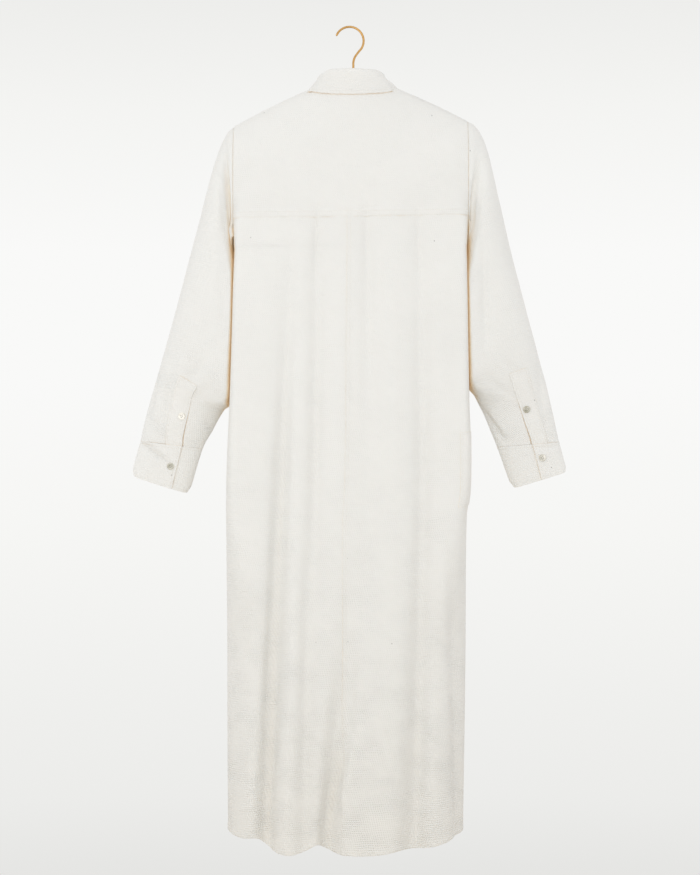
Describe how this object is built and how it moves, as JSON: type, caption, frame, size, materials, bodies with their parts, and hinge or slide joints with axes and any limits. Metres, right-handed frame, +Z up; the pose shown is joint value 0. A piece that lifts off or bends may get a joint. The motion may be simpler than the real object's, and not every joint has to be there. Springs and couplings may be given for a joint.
{
  "type": "cotton tunic on a hanger",
  "caption": "Long off-white textured cotton shirt tunic with collar, yoke, cuffed sleeves and shirt-tail hem, hanging flat on a hanger with a brass wire hook.",
  "frame": {"origin": "the inside top of the hanger's hook, where a rail, nail or peg bears", "axes": "+Z up, away from the hem; +X to the right as the picture shows it, which is the wearer's right, because the garment is seen from its back; the garment's back faces -Y and its buttoned front faces +Y"},
  "size_m": [0.7416, 0.1836, 1.3897],
  "materials": {
    "cotton": "off-white cotton with a small pebbled dobby weave, matt",
    "shell_button": "pale shell-like buttons, polished",
    "beech": "plain beech, satin lacquer",
    "brass": "round wire, satin"
  },
  "bodies": {
    "root": {"back_yoke": "cotton", "back_left": "cotton", "back_right": "cotton", "front_left": "cotton", "front_right": "cotton", "front_placket": "cotton", "pocket_facing_right": "cotton", "pocket_bag_right": "cotton", "sleeve_left": "cotton", "sleeve_right": "cotton", "sleeve_placket_left": "cotton", "sleeve_placket_right": "cotton", "cuff_left": "cotton", "cuff_right": "cotton", "collar_stand": "cotton", "collar_leaf": "cotton", "button_placket_left": "shell_button", "button_placket_right": "shell_button", "button_cuff_left": "shell_button", "button_cuff_right": "shell_button", "button_stand": "shell_button", "button_front_1": "shell_button", "button_front_2": "shell_button", "button_front_3": "shell_button", "button_front_4": "shell_button", "button_front_5": "shell_button", "button_front_6": "shell_button", "button_front_7": "shell_button", "hanger_arms": "beech", "hanger_hook": "brass"}
  },
  "joints": []
}
